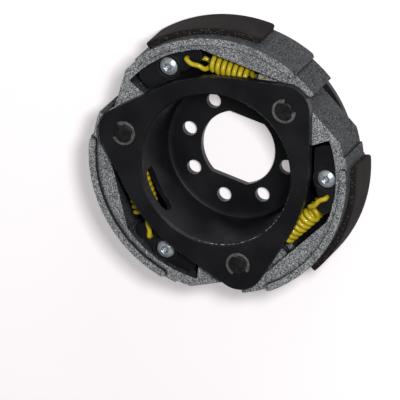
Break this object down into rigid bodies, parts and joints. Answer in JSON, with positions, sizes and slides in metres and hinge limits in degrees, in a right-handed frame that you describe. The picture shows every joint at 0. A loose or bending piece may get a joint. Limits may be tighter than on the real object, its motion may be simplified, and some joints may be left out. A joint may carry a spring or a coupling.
{
  "type": "centrifugal clutch",
  "caption": "Centrifugal scooter clutch: deep cup carrier with a three-lobed flange, hinged aluminium shoes with bonded linings and yellow return springs.",
  "frame": {"origin": "centre of the rear plate's underside, on the clutch's axis", "axes": "+Z along the clutch's axis towards the open mouth of the cup; +Y from the axis towards the first pivot pin; the flats of the central hole run along Y"},
  "size_m": [0.1586, 0.1552, 0.045],
  "materials": {
    "carrier": "satin black",
    "plate": "satin black",
    "pin": "blackened",
    "clip": "dark spring steel",
    "shoe": "sand-blasted casting",
    "lining": "friction compound",
    "block": "satin black",
    "screw": "bright zinc",
    "spring": "yellow enamel"
  },
  "bodies": {
    "base": {"carrier": "carrier", "rear_plate": "plate", "pivot_pin_1": "pin", "pivot_pin_2": "pin", "pivot_pin_3": "pin", "clip_1": "clip", "clip_2": "clip", "clip_3": "clip", "anchor_block_1": "block", "anchor_block_2": "block", "anchor_block_3": "block", "screw_1": "screw", "screw_2": "screw", "screw_3": "screw", "spring_upper_1": "spring", "spring_upper_2": "spring", "spring_upper_3": "spring", "spring_lower_1": "spring", "spring_lower_2": "spring", "spring_lower_3": "spring"},
    "shoe_1_body": {"shoe_1": "shoe", "lining_1": "lining"},
    "shoe_2_body": {"shoe_2": "shoe", "lining_2": "lining"},
    "shoe_3_body": {"shoe_3": "shoe", "lining_3": "lining"}
  },
  "joints": [
    {"name": "shoe_1_swing", "type": "hinge", "parent": "base", "child": "shoe_1_body", "pos_m": [0, 0.0565, 0.0235], "axis": [0, 0, 1], "range_deg": [0, 3], "stiffness_Nm_per_rad": 60, "springref_deg": -2.86, "deforming": ["spring_upper_1", "spring_lower_1"]},
    {"name": "shoe_2_swing", "type": "hinge", "parent": "base", "child": "shoe_2_body", "pos_m": [-0.04893, -0.02825, 0.0235], "axis": [0, 0, 1], "range_deg": [0, 3], "stiffness_Nm_per_rad": 60, "springref_deg": -2.86, "deforming": ["spring_upper_2", "spring_lower_2"]},
    {"name": "shoe_3_swing", "type": "hinge", "parent": "base", "child": "shoe_3_body", "pos_m": [0.04893, -0.02825, 0.0235], "axis": [0, 0, 1], "range_deg": [0, 3], "stiffness_Nm_per_rad": 60, "springref_deg": -2.86, "deforming": ["spring_upper_3", "spring_lower_3"]}
  ]
}
